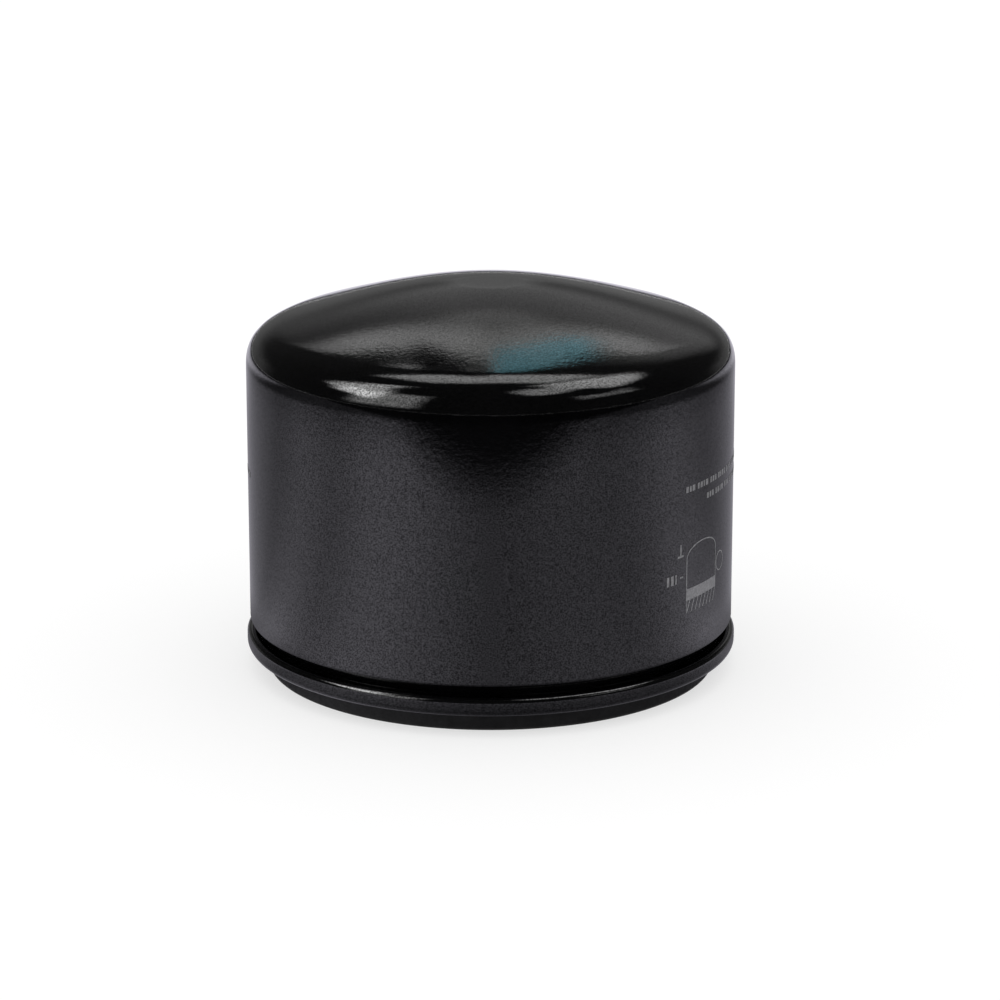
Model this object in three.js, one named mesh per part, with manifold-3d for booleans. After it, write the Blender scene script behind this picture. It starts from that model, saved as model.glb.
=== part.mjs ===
// A short spin-on oil filter for a small engine, as an assembly of separate pieces.
// Millimetres, +Z up. The origin is the centre of the sealing face, where the gasket meets the engine's
// filter pad, and +Z runs along the thread's axis to the top of the domed canister.
import * as THREE from "three";
import { mergeVertices } from "three/addons/utils/BufferGeometryUtils.js";
import Module from "manifold-3d";

const wasm = await Module();
wasm.setup();

// ---- Driving dimensions -------------------------------------------------------------------------

// Outer shell
const CAN_RADIUS = 38; // outside of the canister's wall
const RIM_RADIUS = 38.5; // outside of the rolled seam
const CROWN_TOP_Z = 61.35; // where the crown would peak without its small flat
const CROWN_DROP = 9.3; // the crown is a hyperbola turned round Z: rounded at the top, nearly a cone
const CROWN_SPREAD = 23.6; // further out. Its slope tends to CROWN_DROP / CROWN_SPREAD
const CROWN_FLAT_RADIUS = 4.6;
const CROWN_EDGE_RADIUS = 32.5; // where the shoulder's bend begins
const SHOULDER_RADIUS = 15.3; // the bend's own radius
const SHOULDER_LEAN = 30; // degrees, where the bend meets the tighter knuckle
const WALL_BOTTOM_Z = 8.1; // where the wall turns in towards the seam
const NECK_TOP_Z = 6.4; // where the turned-in wall runs straight down again, behind the seam
const SHEET = 0.4; // canister, lid and end caps

// Double seam: five layers of sheet, side by side
const SEAM_GAP = 0.15;
const LAYER = SHEET + SEAM_GAP;
const SEAM_BOTTOM_Z = 3.1;
const SEAM_TOP_Z = 6.1;
const SEAM_CORNER = 0.9; // outer lower corner of the lid
const HOOK_LENGTH = 0.75;
const COMPOUND_RADIUS = 0.15;

// Gasket and its channel
const GASKET_INNER = 31;
const GASKET_OUTER = 35.2;
const GASKET_TOP_Z = 5.1;
const LIP_RADIUS = 30.5; // middle of the sheet of the lid's inner lip
const LIP_BOTTOM_Z = 2.4;
const CHANNEL_Z = 5.6; // middle of the sheet over the gasket

// Thread plate, with a 3/4-16 UNF bore at its minor diameter
const PLATE_BOTTOM_Z = 6;
const PLATE_THICKNESS = 3;
const PLATE_RADIUS = 36;
const BORE_RADIUS = 8.75;
const BORE_CHAMFER = 0.9;
const BOSS_RADIUS = 11.6;
const BOSS_TOP_Z = 16;
const INLET_COUNT = 8;
const INLET_RADIUS = 2.75;
const INLET_CIRCLE_RADIUS = 17.5;

// Drain-back valve
const RUBBER = 1.3;
const COLLAR_INNER = 9.4;
const COLLAR_Z = 16.85; // middle of the collar, on the boss
const SKIRT_TOP_RADIUS = 13.8;
const SKIRT_FOOT = [22.6, 9.95];
const LIP_TIP_RADIUS = 24.2;
const FLEX_RADIUS = 18; // the skirt hinges here when it lifts
const FLEX_GAP = 0.6;

// Filter element
const LOWER_CAP_Z = 17.85; // middle of the sheet
const UPPER_CAP_Z = 45.2;
const CAP_RADIUS = 33.2;
const CAP_RIM = 3;
const CAP_THROAT_RADIUS = 10.9;
const CAP_THROAT_RIM = 2;
const SEAT_RADIUS = 7; // hole in the upper cap, closed by the bypass valve
const TUBE_OUTER = 12;
const TUBE_INNER = 11.6;
const TUBE_HOLE_RADIUS = 1.8;
const TUBE_ROWS = 3;
const TUBE_HOLES_ROUND = 8;
const TUBE_SOLID_END = 5.5; // from a cap to the first row of holes
const POTTING_INNER = 12.3;
const POTTING_OUTER = 32.7;
const POTTING_THICKNESS = 0.8;
const MEDIA_INNER = 12.8;
const MEDIA_OUTER = 32.1;
const MEDIA_THICKNESS = 0.5;
const PLEATS = 42;
const STACK_GAP = 0.15; // between the pieces stacked in the element

// Bypass valve, inside the upper end of the centre tube
const CAGE_RADIUS = 9.8; // middle of the sheet
const CAGE_FLANGE_RADIUS = 11.2;
const CAGE_TOP_Z = 44.6;
const CAGE_FLOOR_Z = 33.6;
const CAGE_GUIDE_RADIUS = 3;
const CAGE_WINDOWS = 4;
const CAGE_WINDOW_WIDTH = 8;
const SEAL_INNER = 5.8;
const SEAL_OUTER = 8.6;
const SEAL_THICKNESS = 1.2;
const POPPET_RADIUS = 8.8;
const POPPET_THICKNESS = 0.9;
const POPPET_HUB_HEIGHT = 0.8;
const STEM_RADIUS = 2.4;
const STEM_TENON_RADIUS = 1.4;
const STEM_HEAD_RADIUS = 2.7;
const STEM_HEAD_HEIGHT = 0.6;
const STEM_BOTTOM_Z = 31.5;
const SPRING_RADIUS = 5.6;
const SPRING_WIRE = 0.9;
const SPRING_TURNS = 5;

// Leaf spring between the element and the dome
const LEAF = 0.6;
const LEAF_RING_INNER = 8;
const LEAF_RING_OUTER = 13.5;
const LEAF_COUNT = 4;
const LEAF_WIDTH = 7;
const LEAF_CREST = [26.4, 55.8];
const LEAF_TIP = [29.6, 54.4];

// Facets round a full circle
const OUTER_FACETS = 36;
const INNER_FACETS = 28;
const SMALL_FACETS = 20;

// ---- Outlines in the (radius, z) half plane -----------------------------------------------------

// Points along an arc, both ends included. Angles are in degrees from +radius towards +z.
function arc([r, z], radius, from, to, steps) {
  return Array.from({ length: steps + 1 }, (_, i) => {
    const angle = THREE.MathUtils.degToRad(from + ((to - from) * i) / steps);
    return [r + radius * Math.cos(angle), z + radius * Math.sin(angle)];
  });
}

// A line through the points with each inner corner bent to the given radius, in `steps` straight pieces.
function bent(points, radius, steps = 1) {
  const corners = points.map(([r, z]) => new THREE.Vector2(r, z));
  const path = [points[0]];
  for (let i = 1; i < corners.length - 1; i++) {
    const back = corners[i - 1].clone().sub(corners[i]).normalize();
    const on = corners[i + 1].clone().sub(corners[i]).normalize();
    const half = Math.acos(THREE.MathUtils.clamp(back.dot(on), -1, 1)) / 2;
    const middle = back.clone().add(on).normalize();
    const centre = corners[i].clone().addScaledVector(middle, radius / Math.sin(half));
    const start = corners[i].clone().addScaledVector(back, radius / Math.tan(half)).sub(centre);
    const end = corners[i].clone().addScaledVector(on, radius / Math.tan(half)).sub(centre);
    const turn = Math.atan2(start.cross(end), start.dot(end));
    for (let k = 0; k <= steps; k++) {
      const p = start.clone().rotateAround(new THREE.Vector2(), (turn * k) / steps).add(centre);
      path.push([p.x, p.y]);
    }
  }
  path.push(points.at(-1));
  return path;
}

// The closed outline of a sheet of the given thickness whose middle follows the path.
function sheetOutline(path, thickness) {
  const points = path.map(([r, z]) => new THREE.Vector2(r, z));
  const sides = [[], []];
  points.forEach((p, i) => {
    const before = p.clone().sub(points[Math.max(i - 1, 0)]).normalize();
    const after = points[Math.min(i + 1, points.length - 1)].clone().sub(p).normalize();
    const along = before.clone().add(after).normalize();
    const straight = i === 0 || i === points.length - 1 ? 1 : along.dot(after);
    const across = new THREE.Vector2(-along.y, along.x).multiplyScalar(thickness / 2 / straight);
    sides[0].push([p.x + across.x, p.y + across.y]);
    sides[1].push([p.x - across.x, p.y - across.y]);
  });
  return [...sides[0], ...sides[1].reverse()];
}

function rectangle(innerRadius, outerRadius, lowZ, highZ) {
  return [
    [innerRadius, lowZ],
    [outerRadius, lowZ],
    [outerRadius, highZ],
    [innerRadius, highZ],
  ];
}

// ---- Solids -------------------------------------------------------------------------------------

// Turns an outline round the Z axis. One that touches the axis starts and ends there; any other is closed.
function turned(outline, facets) {
  const area = THREE.ShapeUtils.area(outline.map(([r, z]) => new THREE.Vector2(r, z)));
  const ordered = area > 0 ? [...outline] : [...outline].reverse();
  const onAxis = ordered.findIndex(([r], i) => r < 1e-6 && ordered.at(i - 1)[0] < 1e-6);
  const rolled = onAxis < 0 ? ordered : [...ordered.slice(onAxis), ...ordered.slice(0, onAxis)];
  if (onAxis < 0) rolled.push(rolled[0]);
  const points = rolled.map(([r, z]) => new THREE.Vector2(Math.max(r, 0), z));
  return new THREE.LatheGeometry(points, facets).rotateX(Math.PI / 2);
}

function solid(geometry) {
  const bare = geometry.clone();
  bare.deleteAttribute("normal");
  bare.deleteAttribute("uv");
  const merged = mergeVertices(bare, 1e-4);
  const mesh = new wasm.Mesh({
    numProp: 3,
    vertProperties: merged.attributes.position.array,
    triVerts: new Uint32Array(merged.index.array),
  });
  return new wasm.Manifold(mesh);
}

function geometryOf(body) {
  const mesh = body.getMesh();
  return new THREE.BufferGeometry()
    .setAttribute("position", new THREE.BufferAttribute(mesh.vertProperties, 3))
    .setIndex(new THREE.BufferAttribute(mesh.triVerts, 1));
}

function cut(geometry, tools) {
  return geometryOf(tools.reduce((body, tool) => body.subtract(solid(tool)), solid(geometry)));
}

function join(geometries) {
  return geometryOf(geometries.map(solid).reduce((body, other) => body.add(other)));
}

// Copies of a geometry, evenly spaced round the Z axis.
function around(geometry, count, startAngle = 0) {
  return Array.from({ length: count }, (_, i) =>
    geometry.clone().rotateZ(startAngle + (i * 2 * Math.PI) / count),
  );
}

// ---- The pieces ---------------------------------------------------------------------------------

// The seam's five layers from the outside in, at the middle of each sheet. Lid, canister, lid, canister, lid.
const seamWall = RIM_RADIUS - SHEET / 2;
const bodyHook = seamWall - LAYER;
const coverHook = bodyHook - LAYER;
const neck = coverHook - LAYER;
const chuckWall = neck - LAYER;
const curlZ = SEAM_TOP_Z - SHEET / 2 - LAYER; // centre of the curl that joins seamWall to coverHook
const foldZ = SEAM_BOTTOM_Z + SHEET / 2 + 2 * LAYER; // centre of the fold that joins neck to bodyHook

// Height of the middle of the crown's sheet at a radius, and how steeply it falls there.
function crownZ(r) {
  return CROWN_TOP_Z - SHEET / 2 - CROWN_DROP * (Math.hypot(1, r / CROWN_SPREAD) - 1);
}

function crownFall(r) {
  return (CROWN_DROP * r) / CROWN_SPREAD ** 2 / Math.hypot(1, r / CROWN_SPREAD);
}

function canister() {
  const wallRadius = CAN_RADIUS - SHEET / 2;
  const lean = Math.atan(crownFall(CROWN_EDGE_RADIUS));
  const bend = [
    CROWN_EDGE_RADIUS - SHOULDER_RADIUS * Math.sin(lean),
    crownZ(CROWN_EDGE_RADIUS) - SHOULDER_RADIUS * Math.cos(lean),
  ];
  const shoulder = arc(bend, SHOULDER_RADIUS, 90 - THREE.MathUtils.radToDeg(lean), 90 - SHOULDER_LEAN, 2);
  const [shoulderR, shoulderZ] = shoulder[2];
  const footLean = THREE.MathUtils.degToRad(SHOULDER_LEAN);
  const knuckle = (wallRadius - shoulderR) / (1 - Math.sin(footLean));
  const knuckleZ = shoulderZ - knuckle * Math.cos(footLean);
  const steps = [0, 0.25, 0.5, 0.75];
  const radii = steps.map((share) => THREE.MathUtils.lerp(CROWN_FLAT_RADIUS, CROWN_EDGE_RADIUS, share));
  const path = [
    [0, crownZ(CROWN_FLAT_RADIUS)],
    ...radii.map((r) => [r, crownZ(r)]),
    ...shoulder.slice(0, 2),
    ...arc([wallRadius - knuckle, knuckleZ], knuckle, 90 - SHOULDER_LEAN, 0, 3),
    ...bent(
      [
        [wallRadius, knuckleZ],
        [wallRadius, WALL_BOTTOM_Z],
        [neck, NECK_TOP_Z],
        [neck, foldZ],
      ],
      SHEET,
    ).slice(1, -1),
    ...arc([neck + LAYER, foldZ], LAYER, 180, 360, 3),
    [bodyHook, foldZ + HOOK_LENGTH],
  ];
  return turned(sheetOutline(path, SHEET), OUTER_FACETS);
}

function seamingLid() {
  const footZ = SEAM_BOTTOM_Z + SHEET / 2;
  const path = [
    ...bent(
      [
        [LIP_RADIUS, LIP_BOTTOM_Z],
        [LIP_RADIUS, CHANNEL_Z],
        [chuckWall, CHANNEL_Z],
        [chuckWall, footZ],
        [seamWall, footZ],
      ],
      SHEET,
    ).slice(0, -1),
    ...arc([seamWall - SEAM_CORNER, footZ + SEAM_CORNER], SEAM_CORNER, -90, 0, 2),
    ...arc([bodyHook, curlZ], LAYER, 0, 180, 3),
    [coverHook, curlZ - HOOK_LENGTH],
  ];
  return turned(sheetOutline(path, SHEET), OUTER_FACETS);
}

// Cured sealant in the curl, over the end of the canister's hook.
function seamCompound() {
  return turned(arc([bodyHook, curlZ + 0.04], COMPOUND_RADIUS, 0, 270, 3), OUTER_FACETS);
}

function sealingGasket() {
  const ease = 0.35;
  const outline = [
    [GASKET_INNER + ease, 0],
    [GASKET_OUTER - ease, 0],
    [GASKET_OUTER, ease],
    [GASKET_OUTER, GASKET_TOP_Z],
    [GASKET_INNER, GASKET_TOP_Z],
    [GASKET_INNER, ease],
  ];
  return turned(outline, OUTER_FACETS);
}

function threadPlate() {
  const top = PLATE_BOTTOM_Z + PLATE_THICKNESS;
  const fillet = 1.2;
  const outline = [
    [BORE_RADIUS + BORE_CHAMFER, PLATE_BOTTOM_Z],
    [PLATE_RADIUS - 0.4, PLATE_BOTTOM_Z],
    [PLATE_RADIUS, PLATE_BOTTOM_Z + 0.4],
    [PLATE_RADIUS, top],
    [BOSS_RADIUS + fillet, top],
    [BOSS_RADIUS, top + fillet],
    [BOSS_RADIUS, BOSS_TOP_Z],
    [BORE_RADIUS + BORE_CHAMFER, BOSS_TOP_Z],
    [BORE_RADIUS, BOSS_TOP_Z - BORE_CHAMFER],
    [BORE_RADIUS, PLATE_BOTTOM_Z + BORE_CHAMFER],
  ];
  const drill = new THREE.CylinderGeometry(INLET_RADIUS, INLET_RADIUS, 3 * PLATE_THICKNESS, 12)
    .rotateX(Math.PI / 2)
    .translate(INLET_CIRCLE_RADIUS, 0, PLATE_BOTTOM_Z + PLATE_THICKNESS / 2);
  return cut(turned(outline, OUTER_FACETS), around(drill, INLET_COUNT, Math.PI / INLET_COUNT));
}

// The valve is one rubber moulding. Its fixed collar and lifting lip are two solids that meet at FLEX_RADIUS.
function skirtPoint(radius) {
  const [footRadius, footZ] = SKIRT_FOOT;
  const slope = (footZ - COLLAR_Z) / (footRadius - SKIRT_TOP_RADIUS);
  return [radius, COLLAR_Z + slope * (radius - SKIRT_TOP_RADIUS)];
}

function drainbackCollar() {
  const path = bent(
    [[COLLAR_INNER, COLLAR_Z], [SKIRT_TOP_RADIUS, COLLAR_Z], skirtPoint(FLEX_RADIUS)],
    1,
    2,
  );
  return turned(sheetOutline(path, RUBBER), INNER_FACETS);
}

function drainbackLip() {
  const [, footZ] = SKIRT_FOOT;
  const path = bent([skirtPoint(FLEX_RADIUS + FLEX_GAP), SKIRT_FOOT, [LIP_TIP_RADIUS, footZ]], 1, 2);
  return turned(sheetOutline(path, RUBBER), INNER_FACETS);
}

function lowerEndCap() {
  const path = bent(
    [
      [CAP_THROAT_RADIUS, LOWER_CAP_Z + CAP_THROAT_RIM],
      [CAP_THROAT_RADIUS, LOWER_CAP_Z],
      [CAP_RADIUS, LOWER_CAP_Z],
      [CAP_RADIUS, LOWER_CAP_Z + CAP_RIM],
    ],
    0.5,
  );
  return turned(sheetOutline(path, SHEET), INNER_FACETS);
}

function upperEndCap() {
  const path = bent(
    [
      [SEAT_RADIUS, UPPER_CAP_Z],
      [CAP_RADIUS, UPPER_CAP_Z],
      [CAP_RADIUS, UPPER_CAP_Z - CAP_RIM],
    ],
    0.5,
  );
  return turned(sheetOutline(path, SHEET), INNER_FACETS);
}

const elementLow = LOWER_CAP_Z + SHEET / 2 + STACK_GAP;
const elementHigh = UPPER_CAP_Z - SHEET / 2 - STACK_GAP;

function centreTube() {
  const tube = turned(rectangle(TUBE_INNER, TUBE_OUTER, elementLow, elementHigh), INNER_FACETS);
  const drill = new THREE.CylinderGeometry(TUBE_HOLE_RADIUS, TUBE_HOLE_RADIUS, 4, 8).rotateZ(Math.PI / 2);
  const firstRow = elementLow + TUBE_SOLID_END;
  const pitch = (elementHigh - elementLow - 2 * TUBE_SOLID_END) / (TUBE_ROWS - 1);
  const drills = Array.from({ length: TUBE_ROWS }, (_, row) =>
    around(
      drill.clone().translate(TUBE_OUTER, 0, firstRow + row * pitch),
      TUBE_HOLES_ROUND,
      ((row % 2) * Math.PI) / TUBE_HOLES_ROUND,
    ),
  ).flat();
  return cut(tube, drills);
}

function potting(lowZ) {
  return turned(rectangle(POTTING_INNER, POTTING_OUTER, lowZ, lowZ + POTTING_THICKNESS), INNER_FACETS);
}

// One pleat's folds, as the angle from the pleat's middle and the radius. The ring of folds closes on itself.
function pleatLine(offset) {
  const pitch = (2 * Math.PI) / PLEATS;
  const innerHalf = pitch / 2 - (MEDIA_THICKNESS * 0.62 - offset) / MEDIA_INNER;
  const outerHalf = (MEDIA_THICKNESS * 0.62 + offset) / MEDIA_OUTER;
  const inner = MEDIA_INNER + MEDIA_THICKNESS / 2 + offset;
  const outer = MEDIA_OUTER - MEDIA_THICKNESS / 2 + offset;
  const folds = [
    [-innerHalf, inner],
    [-outerHalf, outer],
    [outerHalf, outer],
    [innerHalf, inner],
  ];
  return Array.from({ length: PLEATS }, (_, i) =>
    folds.map(([angle, radius]) => {
      const turn = i * pitch + angle;
      return new THREE.Vector2(radius * Math.cos(turn), radius * Math.sin(turn));
    }),
  ).flat();
}

function pleatedMedia() {
  const lowZ = elementLow + POTTING_THICKNESS + STACK_GAP;
  const highZ = elementHigh - POTTING_THICKNESS - STACK_GAP;
  const shape = new THREE.Shape(pleatLine(MEDIA_THICKNESS / 2));
  shape.holes.push(new THREE.Path(pleatLine(-MEDIA_THICKNESS / 2)));
  return new THREE.ExtrudeGeometry(shape, { depth: highZ - lowZ, bevelEnabled: false }).translate(0, 0, lowZ);
}

// A U of sheet that grips one outer fold, where the two ends of the paper meet.
function mediaSeamClip() {
  const gripHalf = 1.15;
  const backRadius = MEDIA_OUTER + 0.3;
  const gripDepth = 4;
  const leg = [
    [backRadius - gripDepth, -gripHalf],
    [backRadius, -gripHalf],
    [backRadius, gripHalf],
    [backRadius - gripDepth, gripHalf],
  ];
  const shape = new THREE.Shape(sheetOutline(leg, 0.3).map(([x, y]) => new THREE.Vector2(x, y)));
  const lowZ = elementLow + POTTING_THICKNESS + CAP_RIM;
  const highZ = elementHigh - POTTING_THICKNESS - CAP_RIM;
  return new THREE.ExtrudeGeometry(shape, { depth: highZ - lowZ, bevelEnabled: false }).translate(0, 0, lowZ);
}

function bypassCage() {
  const path = bent(
    [
      [CAGE_FLANGE_RADIUS, CAGE_TOP_Z],
      [CAGE_RADIUS, CAGE_TOP_Z],
      [CAGE_RADIUS, CAGE_FLOOR_Z],
      [CAGE_GUIDE_RADIUS, CAGE_FLOOR_Z],
    ],
    0.5,
  );
  const cup = turned(sheetOutline(path, SHEET), SMALL_FACETS);
  const sill = 1.8;
  const lintel = 2.2;
  const height = CAGE_TOP_Z - CAGE_FLOOR_Z - sill - lintel;
  const window = new THREE.BoxGeometry(6, CAGE_WINDOW_WIDTH, height).translate(
    CAGE_RADIUS,
    0,
    CAGE_FLOOR_Z + sill + height / 2,
  );
  return cut(cup, around(window, CAGE_WINDOWS, Math.PI / CAGE_WINDOWS));
}

const sealTop = UPPER_CAP_Z - SHEET / 2 - STACK_GAP;
const poppetTop = sealTop - SEAL_THICKNESS - STACK_GAP;

function bypassSeal() {
  return turned(rectangle(SEAL_INNER, SEAL_OUTER, sealTop - SEAL_THICKNESS, sealTop), SMALL_FACETS);
}

// A disc with a raised hub that centres the seal.
function bypassPoppet() {
  const hole = STEM_TENON_RADIUS + STACK_GAP;
  const hub = SEAL_INNER - 0.3;
  const outline = [
    [hole, poppetTop - POPPET_THICKNESS],
    [POPPET_RADIUS, poppetTop - POPPET_THICKNESS],
    [POPPET_RADIUS, poppetTop],
    [hub, poppetTop],
    [hub, poppetTop + POPPET_HUB_HEIGHT],
    [hole, poppetTop + POPPET_HUB_HEIGHT],
  ];
  return turned(outline, SMALL_FACETS);
}

// The pin that guides the poppet, riveted over on top of it.
function bypassStem() {
  const shoulder = poppetTop - POPPET_THICKNESS - STACK_GAP;
  const headZ = poppetTop + POPPET_HUB_HEIGHT + STACK_GAP;
  const outline = [
    [0, STEM_BOTTOM_Z],
    [STEM_RADIUS - 0.6, STEM_BOTTOM_Z],
    [STEM_RADIUS, STEM_BOTTOM_Z + 0.8],
    [STEM_RADIUS, shoulder],
    [STEM_TENON_RADIUS, shoulder],
    [STEM_TENON_RADIUS, headZ],
    [STEM_HEAD_RADIUS, headZ],
    [STEM_TENON_RADIUS, headZ + STEM_HEAD_HEIGHT],
    [0, headZ + STEM_HEAD_HEIGHT],
  ];
  return turned(outline, SMALL_FACETS);
}

// A coil with flat-lying first and last turns.
class Coil extends THREE.Curve {
  constructor(radius, lowZ, highZ, turns, wire) {
    super();
    Object.assign(this, { radius, lowZ, highZ, turns, wire });
  }

  getPoint(t, target = new THREE.Vector3()) {
    const angle = 2 * Math.PI * this.turns * t;
    const closed = 0.75 / this.turns; // share of the wire in each closed end
    const rise = THREE.MathUtils.clamp((t - closed) / (1 - 2 * closed), 0, 1);
    const end = this.wire * 1.15 * (THREE.MathUtils.smoothstep(t, 0, closed) - 0.5);
    const stretch = this.highZ - this.lowZ - this.wire * 2.3;
    const lift = this.wire * 1.15 * (THREE.MathUtils.smoothstep(t, 1 - closed, 1) + 0.5);
    return target.set(
      this.radius * Math.cos(angle),
      this.radius * Math.sin(angle),
      this.lowZ + end + lift + rise * stretch,
    );
  }
}

function bypassSpring() {
  const lowZ = CAGE_FLOOR_Z + SHEET / 2 + STACK_GAP + SPRING_WIRE / 2;
  const highZ = poppetTop - POPPET_THICKNESS - STACK_GAP - SPRING_WIRE / 2;
  const coil = new Coil(SPRING_RADIUS, lowZ, highZ, SPRING_TURNS, SPRING_WIRE);
  const hexagon = arc([0, 0], SPRING_WIRE / 2, 0, 300, 5).map(([x, y]) => new THREE.Vector2(x, y));
  const stepsPerTurn = 10;
  return new THREE.ExtrudeGeometry(new THREE.Shape(hexagon), {
    steps: SPRING_TURNS * stepsPerTurn,
    extrudePath: coil,
  });
}

function elementSpring() {
  const ringZ = UPPER_CAP_Z + SHEET / 2 + STACK_GAP + LEAF / 2;
  const ring = turned(
    rectangle(LEAF_RING_INNER, LEAF_RING_OUTER, ringZ - LEAF / 2, ringZ + LEAF / 2),
    SMALL_FACETS,
  );
  const root = [LEAF_RING_OUTER - 2.5, ringZ];
  const foot = [LEAF_RING_OUTER + 1.5, ringZ];
  const path = bent([root, foot, LEAF_CREST, LEAF_TIP], 2 * LEAF, 2);
  const side = new THREE.Shape(sheetOutline(path, LEAF).map(([r, z]) => new THREE.Vector2(r, z)));
  const leaf = new THREE.ExtrudeGeometry(side, { depth: LEAF_WIDTH, bevelEnabled: false })
    .translate(0, 0, -LEAF_WIDTH / 2)
    .rotateX(Math.PI / 2);
  return join([ring, ...around(leaf, LEAF_COUNT)]);
}

// ---- Assembly -----------------------------------------------------------------------------------

const finishes = {
  blackPaint: { color: 0x14141a, roughness: 0.22, metalness: 0 },
  zincPlate: { color: 0xb4b6b4, roughness: 0.38, metalness: 1 },
  tinPlate: { color: 0xc2c2bc, roughness: 0.3, metalness: 1 },
  springSteel: { color: 0x6a7078, roughness: 0.32, metalness: 1 },
  blackRubber: { color: 0x101011, roughness: 0.75, metalness: 0 },
  valveRubber: { color: 0x8a3a1e, roughness: 0.6, metalness: 0 },
  filterPaper: { color: 0xd8b878, roughness: 0.95, metalness: 0 },
  plastisol: { color: 0xa8a69c, roughness: 0.55, metalness: 0 },
};

const assembly = new THREE.Group();

function place(name, geometry, finish) {
  const mesh = new THREE.Mesh(geometry, new THREE.MeshStandardMaterial(finishes[finish]));
  mesh.name = name;
  assembly.add(mesh);
}

// Shell
place("canister", canister(), "blackPaint");
place("seaming_lid", seamingLid(), "blackPaint");
place("seam_compound", seamCompound(), "plastisol");
place("thread_plate", threadPlate(), "zincPlate");
place("sealing_gasket", sealingGasket(), "blackRubber");

// Drain-back valve over the inlet holes
place("drainback_valve_collar", drainbackCollar(), "valveRubber");
place("drainback_valve_lip", drainbackLip(), "valveRubber");

// Filter element
place("lower_end_cap", lowerEndCap(), "tinPlate");
place("upper_end_cap", upperEndCap(), "tinPlate");
place("center_tube", centreTube(), "tinPlate");
place("lower_potting", potting(elementLow), "plastisol");
place("upper_potting", potting(elementHigh - POTTING_THICKNESS), "plastisol");
place("pleated_media", pleatedMedia(), "filterPaper");
place("media_seam_clip", mediaSeamClip(), "tinPlate");

// Bypass valve
place("bypass_cage", bypassCage(), "tinPlate");
place("bypass_poppet", bypassPoppet(), "tinPlate");
place("bypass_stem", bypassStem(), "springSteel");
place("bypass_seal", bypassSeal(), "valveRubber");
place("bypass_spring", bypassSpring(), "springSteel");

// Spring that holds the element down
place("element_spring", elementSpring(), "springSteel");

export default assembly;
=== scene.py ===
"""The looks of a short spin-on oil filter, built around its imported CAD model.

Lengths are in millimetres in the outlines and the named sizes, and become metres when a mesh is made.
Every round piece is an outline in the (radius, height) half plane, turned round Z.
"""
import math

import bmesh
import bpy
import numpy as np
from mathutils import Matrix, Vector, noise


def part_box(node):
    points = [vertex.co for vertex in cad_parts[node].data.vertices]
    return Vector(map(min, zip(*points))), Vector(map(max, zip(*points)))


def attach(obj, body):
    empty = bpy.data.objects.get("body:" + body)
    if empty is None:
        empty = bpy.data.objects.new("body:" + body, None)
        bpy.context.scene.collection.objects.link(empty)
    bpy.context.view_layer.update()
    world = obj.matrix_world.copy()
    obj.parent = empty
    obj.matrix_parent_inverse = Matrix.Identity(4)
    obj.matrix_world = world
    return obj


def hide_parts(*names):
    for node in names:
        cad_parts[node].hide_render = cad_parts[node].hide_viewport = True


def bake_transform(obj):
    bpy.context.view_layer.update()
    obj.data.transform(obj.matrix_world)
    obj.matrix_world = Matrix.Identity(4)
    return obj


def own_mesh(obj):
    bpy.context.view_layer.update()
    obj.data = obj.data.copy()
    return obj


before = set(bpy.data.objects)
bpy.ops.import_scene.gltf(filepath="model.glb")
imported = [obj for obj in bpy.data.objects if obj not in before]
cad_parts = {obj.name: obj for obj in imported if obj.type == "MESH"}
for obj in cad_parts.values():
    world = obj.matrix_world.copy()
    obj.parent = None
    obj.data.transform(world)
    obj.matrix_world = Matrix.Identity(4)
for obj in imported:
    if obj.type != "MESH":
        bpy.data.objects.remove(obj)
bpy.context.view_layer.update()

MM = 0.001


def low(node):
    """Lowest corner of a CAD node, in mm."""
    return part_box(node)[0] / MM


def high(node):
    """Highest corner of a CAD node, in mm."""
    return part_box(node)[1] / MM


# ---- Sizes, in mm ----

SHEET = 0.4  # canister, lid and end caps
SEAM_GAP = 0.15
LAYER = SHEET + SEAM_GAP

CAN_RADIUS = high("canister").x
RIM_RADIUS = high("seaming_lid").x
SEAM_TOP = high("seaming_lid").z
SEAM_BOTTOM = 3.1
WALL_BOTTOM = 8.1
NECK_TOP = 6.4
CROWN_TOP = 61.35  # where the crown would peak without its small flat
CROWN_DROP = 9.3
CROWN_SPREAD = 23.6
CROWN_FLAT = 4.6
CROWN_EDGE = 32.5
SHOULDER_RADIUS = 15.3
SHOULDER_LEAN = math.radians(30)
KNUCKLE_EASE = 1.3  # how far the bend into the wall fades out

GASKET_INNER = 31.0
GASKET_OUTER = high("sealing_gasket").x
GASKET_TOP = high("sealing_gasket").z
LIP_RADIUS = 30.5
LIP_BOTTOM = low("seaming_lid").z
CHANNEL_Z = 5.6

PLATE_BOTTOM = low("thread_plate").z
PLATE_TOP = PLATE_BOTTOM + 3
PLATE_RADIUS = high("thread_plate").x
BOSS_TOP = high("thread_plate").z
BOSS_RADIUS = 11.6
BORE_RADIUS = 8.75  # minor radius of the 3/4-16 UNF thread
THREAD_DEPTH = 0.775
THREAD_PITCH = 25.4 / 16
INLET_COUNT = 8
INLET_RADIUS = 2.75
INLET_CIRCLE = 17.5

RUBBER = 1.3
COLLAR_INNER = 9.4
COLLAR_Z = high("drainback_valve_collar").z - RUBBER / 2
SKIRT_TOP_RADIUS = 13.8
SKIRT_FOOT_RADIUS = 22.6
SKIRT_FOOT_Z = low("drainback_valve_lip").z + RUBBER / 2
LIP_TIP_RADIUS = high("drainback_valve_lip").x

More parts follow.
